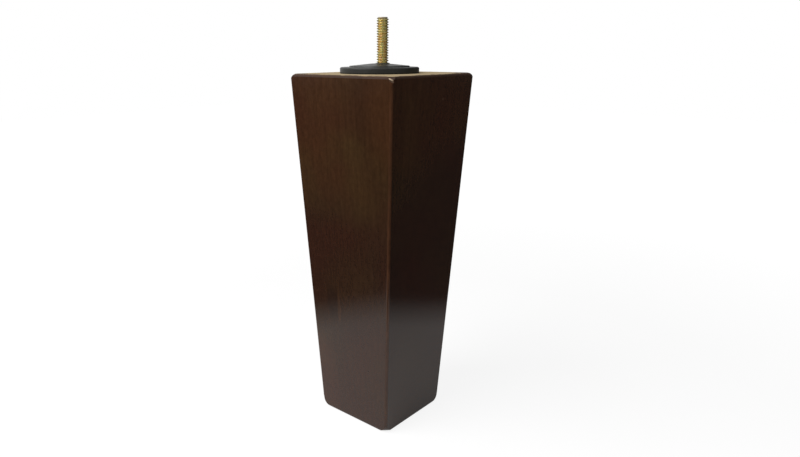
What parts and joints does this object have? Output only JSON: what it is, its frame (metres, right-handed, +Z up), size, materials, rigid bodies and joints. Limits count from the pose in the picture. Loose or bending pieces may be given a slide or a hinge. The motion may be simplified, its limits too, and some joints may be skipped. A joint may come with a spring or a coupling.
{
  "type": "furniture leg",
  "caption": "Tapered square wooden furniture leg with rounded edges, a moulded disc and a threaded hanger bolt on top.",
  "frame": {"origin": "middle of the foot, on the surface that the leg stands on", "axes": "+Z up along the leg and its bolt; the four sides face +X, -X, +Y and -Y"},
  "size_m": [0.0698, 0.0698, 0.2268],
  "materials": {
    "stained_wood": "dark brown stain under satin lacquer, bare pale end grain on top",
    "black_plastic": "satin moulded",
    "plated_steel": "yellow zinc plating"
  },
  "bodies": {
    "root": {"wooden_leg": "stained_wood", "top_disc": "black_plastic", "hanger_bolt": "plated_steel"}
  },
  "joints": []
}
